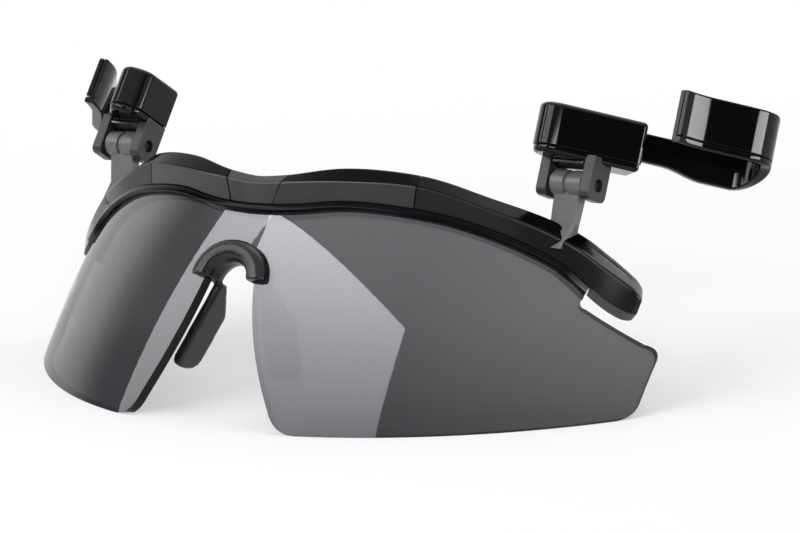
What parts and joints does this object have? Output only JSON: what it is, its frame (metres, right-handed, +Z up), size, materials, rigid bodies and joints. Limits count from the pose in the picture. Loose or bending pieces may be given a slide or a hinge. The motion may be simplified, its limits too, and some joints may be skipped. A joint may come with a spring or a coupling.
{
  "type": "cap clip sunglasses",
  "caption": "Flip-up shield sunglasses with a smoke lens under a brow bar, a soft nose piece, and sprung hooks that clip onto a cap's brim.",
  "frame": {"origin": "centre of the bounding box in plan, at the height of the lens's flat lower edge", "axes": "+X towards the wearer's left along the hinge pins, +Y towards the wearer, +Z up"},
  "size_m": [0.1702, 0.0752, 0.0576],
  "materials": {
    "lens": "clear smoke-grey polycarbonate with a light mirror sheen",
    "gloss_black": "glossy black",
    "satin_black": "satin black-grey",
    "soft_rubber": "soft black, satin",
    "post_grey": "satin grey",
    "steel": "bright spring steel"
  },
  "bodies": {
    "frame": {"lens": "lens", "brow_rim": "gloss_black", "bridge_cover": "satin_black", "nose_piece": "soft_rubber", "brow_cover_left": "satin_black", "brow_cover_right": "satin_black", "brow_arm_left": "satin_black", "brow_arm_right": "satin_black", "hinge_post_left": "post_grey", "hinge_post_right": "post_grey"},
    "clip_left": {"hinge_pin_left": "steel", "clip_base_left": "satin_black", "clip_housing_left": "gloss_black", "detent_leaf_left": "steel", "return_spring_left": "steel"},
    "clip_right": {"hinge_pin_right": "steel", "clip_base_right": "satin_black", "clip_housing_right": "gloss_black", "detent_leaf_right": "steel", "return_spring_right": "steel"},
    "hook_left": {"brim_hook_left": "gloss_black", "hook_cover_left": "gloss_black"},
    "hook_right": {"brim_hook_right": "gloss_black", "hook_cover_right": "gloss_black"}
  },
  "joints": [
    {"name": "flip_left", "type": "hinge", "parent": "frame", "child": "clip_left", "pos_m": [0.0566, 0.00764, 0.04104], "axis": [-1, 0, 0], "range_deg": [-25, 70]},
    {"name": "flip_right", "type": "hinge", "parent": "frame", "child": "clip_right", "pos_m": [-0.0566, 0.00764, 0.04104], "axis": [-1, 0, 0], "range_deg": [-36.5, 58.5]},
    {"name": "pull_left", "type": "slide", "parent": "clip_left", "child": "hook_left", "axis": [0.6428, 0.6943, -0.3237], "range_m": [0, 0.008], "stiffness_N_per_m": 150, "springref_m": -0.01, "deforming": ["return_spring_left"]},
    {"name": "pull_right", "type": "slide", "parent": "clip_right", "child": "hook_right", "axis": [-0.6428, 0.6158, -0.4557], "range_m": [0, 0.008], "stiffness_N_per_m": 150, "springref_m": -0.01, "deforming": ["return_spring_right"]}
  ]
}
